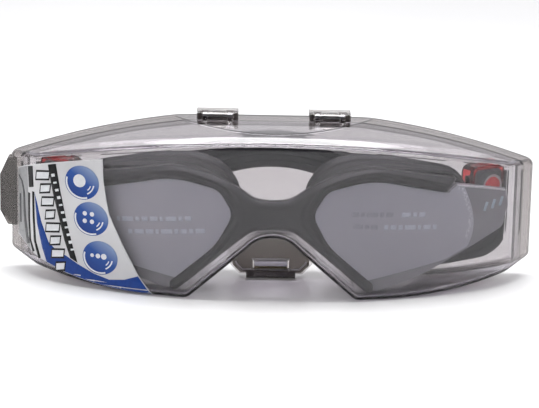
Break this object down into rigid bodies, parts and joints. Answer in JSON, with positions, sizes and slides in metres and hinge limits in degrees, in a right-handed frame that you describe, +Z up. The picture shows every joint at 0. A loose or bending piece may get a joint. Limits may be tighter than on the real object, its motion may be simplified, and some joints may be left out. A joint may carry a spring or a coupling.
{
  "type": "swim goggles",
  "caption": "Wide-lens swim goggles with soft face seals and push-button strap buckles, closed inside a fitted clear hard case with a hinged back and a latch flap.",
  "frame": {"origin": "centre of the object's footprint on the surface that it stands on", "axes": "+X along the object's length to the wearer's left, which is the viewer's right; +Y from the front of the case to its hinged back; +Z up"},
  "size_m": [0.1995, 0.047, 0.0628],
  "materials": {
    "clear_case": "clear, faintly smoke-tinted hard plastic, polished",
    "smoke_case": "warm smoke-tinted translucent hard plastic, polished",
    "smoke_fittings": "thicker smoke-tinted plastic, satin",
    "label_paper": "coated paper with printed blue and black graphics",
    "pin_steel": "drawn wire",
    "silicone": "satin moulded silicone",
    "strap_silicone": "satin ribbed silicone band",
    "lens_smoke": "polished smoke-tinted polycarbonate",
    "film": "frosted blue-grey protective film",
    "buckle_red": "translucent red plastic",
    "grip_speckle": "dark speckled grip texture",
    "ring_pale": "pale polished edge",
    "button_red": "bright red polished plastic"
  },
  "bodies": {
    "front_cover": {"front_cover": "clear_case", "label": "label_paper", "left_hinge_pin": "pin_steel", "right_hinge_pin": "pin_steel", "latch_pin": "pin_steel", "goggle_frame": "silicone", "head_strap": "strap_silicone", "left_lens": "lens_smoke", "left_film": "film", "left_gasket": "silicone", "left_buckle_base": "buckle_red", "left_buckle_insert": "grip_speckle", "left_buckle_back": "buckle_red", "left_button_ring": "ring_pale", "left_strap_bar": "pin_steel", "right_lens": "lens_smoke", "right_film": "film", "right_gasket": "silicone", "right_buckle_base": "buckle_red", "right_buckle_insert": "grip_speckle", "right_buckle_back": "buckle_red", "right_button_ring": "ring_pale", "right_strap_bar": "pin_steel"},
    "back_shell": {"back_shell": "smoke_case", "lanyard_bar": "smoke_fittings"},
    "latch_flap": {"latch_flap": "smoke_fittings"},
    "left_button": {"left_button": "button_red"},
    "right_button": {"right_button": "button_red"}
  },
  "joints": [
    {"name": "back_shell_hinge", "type": "hinge", "parent": "front_cover", "child": "back_shell", "pos_m": [0.00185, 0.013, 0.0612], "axis": [1, 0, 0], "range_deg": [0, 120]},
    {"name": "latch_flap_hinge", "type": "hinge", "parent": "front_cover", "child": "latch_flap", "pos_m": [0.00185, 0.0109, 0.0181], "axis": [-1, 0, 0], "range_deg": [0, 12]},
    {"name": "right_button_slide", "type": "slide", "parent": "front_cover", "child": "right_button", "axis": [-0.5519, 0.8339, 0], "range_m": [0, 0.0012], "stiffness_N_per_m": 1500},
    {"name": "left_button_slide", "type": "slide", "parent": "front_cover", "child": "left_button", "axis": [0.5519, 0.8339, 0], "range_m": [0, 0.0012], "stiffness_N_per_m": 1500}
  ]
}
